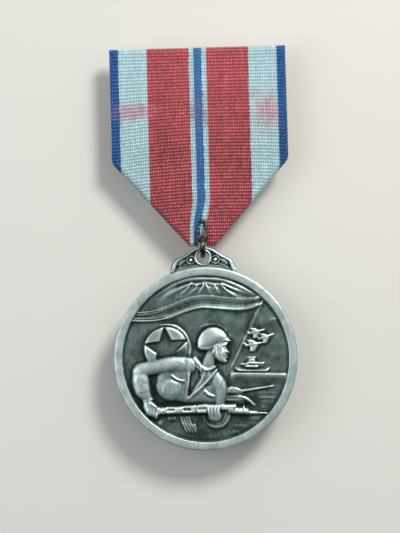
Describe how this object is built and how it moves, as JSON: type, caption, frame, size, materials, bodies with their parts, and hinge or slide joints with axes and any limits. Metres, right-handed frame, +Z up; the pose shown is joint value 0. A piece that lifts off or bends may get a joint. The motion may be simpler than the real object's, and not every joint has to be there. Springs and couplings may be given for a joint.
{
  "type": "service medal with ribbon brooch",
  "caption": "Round struck medal with a soldier and ship in relief, hung by lug and jump ring from a pentagonal striped ribbon on a pin-back brooch.",
  "frame": {"origin": "middle of the brooch needle's straight part, on its axis", "axes": "+Z up as worn, front towards -Y, +X to the right of a person facing the medal"},
  "size_m": [0.035, 0.0087, 0.0777],
  "materials": {
    "antique_silver": "antique silver plate with dark patina in the recesses",
    "dark_wire": "dull oxidised wire",
    "ribbon_weave": "ribbed silk weave in red, white and blue stripes",
    "thread": "red sewing thread",
    "steel_sheet": "plain cut sheet",
    "nickel_sheet": "brushed nickel plate, lightly worn",
    "brass_fittings": "tarnished brass",
    "pin_steel": "polished drawn wire"
  },
  "bodies": {
    "brooch": {"ribbon": "ribbon_weave", "former_plate": "steel_sheet", "back_plate": "nickel_sheet", "plate_rivets": "brass_fittings", "seam_stitches": "thread", "suspension_eye": "dark_wire", "hinge_bracket": "brass_fittings", "hinge_rivet": "pin_steel", "pin_catch": "brass_fittings"},
    "pin": {"brooch_pin": "pin_steel"},
    "ring": {"jump_ring": "dark_wire"},
    "medal": {"medal_disc": "antique_silver", "suspension_lug": "antique_silver"}
  },
  "joints": [
    {"name": "pin_swing", "type": "hinge", "parent": "brooch", "child": "pin", "pos_m": [0.0117, 0, 0], "axis": [0, 0, -1], "range_deg": [0, 95]},
    {"name": "ring_swing", "type": "hinge", "parent": "brooch", "child": "ring", "pos_m": [0, -0.0053, -0.03], "axis": [-1, 0, 0], "range_deg": [-5, 90]},
    {"name": "medal_sway", "type": "hinge", "parent": "ring", "child": "medal", "pos_m": [0, -0.0053, -0.0325], "axis": [0, 1, 0], "range_deg": [-30, 30]}
  ]
}
